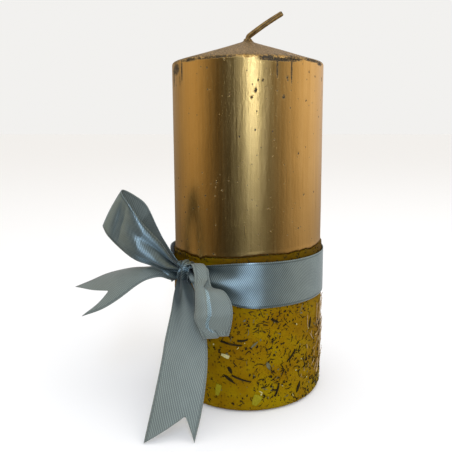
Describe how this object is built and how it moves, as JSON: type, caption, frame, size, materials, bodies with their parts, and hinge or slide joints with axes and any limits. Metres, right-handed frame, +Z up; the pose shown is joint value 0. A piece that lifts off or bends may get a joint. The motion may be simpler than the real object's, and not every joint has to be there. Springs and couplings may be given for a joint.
{
  "type": "pillar candle",
  "caption": "Free-standing pillar candle with a gold upper skin, an olive herb-wax sleeve and a satin ribbon bow tied round it.",
  "frame": {"origin": "centre of the flat base, on the candle's axis", "axes": "+Z up along the candle's axis, front towards -Y, bow at the front left (-X, -Y)"},
  "size_m": [0.1163, 0.096, 0.178],
  "materials": {
    "core_wax": "olive wax, slightly greasy",
    "gold_wax": "brushed-on metallic gold, satin",
    "herb_wax": "olive wax, satin, translucent",
    "wick_cotton": "braided cotton, waxed",
    "tinplate": "bright tinplate",
    "dark_herb": "dried herb, matt",
    "grey_herb": "dried herb, matt",
    "straw": "dried straw, matt",
    "petal": "dried petal under wax",
    "satin_ribbon": "satin one side, dull twill on the back"
  },
  "bodies": {
    "candle": {"wax_pillar": "core_wax", "gold_coat": "gold_wax", "herb_wax_sleeve": "herb_wax", "wick": "wick_cotton", "wick_sustainer": "tinplate", "herb_stem_long": "dark_herb", "herb_needle_short": "dark_herb", "herb_needle_grey": "grey_herb", "petal_white": "petal", "herb_flake_brown": "dark_herb", "herb_leaf_dark": "dark_herb", "herb_fibre_curved": "dark_herb", "petal_yellow": "petal", "petal_pale_left": "petal", "herb_leaf_upper": "dark_herb", "herb_leaf_grey": "grey_herb", "herb_stem_right": "dark_herb", "herb_leaf_right": "dark_herb", "herb_stem_angled": "dark_herb", "straw_right_upper": "straw", "straw_right_lower": "straw", "straw_right_base": "straw", "herb_leaf_side": "dark_herb"},
    "ribbon": {"ribbon_band": "satin_ribbon", "ribbon_knot": "satin_ribbon", "ribbon_loop_left": "satin_ribbon", "ribbon_loop_right": "satin_ribbon", "ribbon_tail_left": "satin_ribbon", "ribbon_tail_front": "satin_ribbon"}
  },
  "joints": [
    {"name": "ribbon_lift", "type": "slide", "parent": "candle", "child": "ribbon", "axis": [0, 0, 1], "range_m": [0, 0.135]}
  ]
}
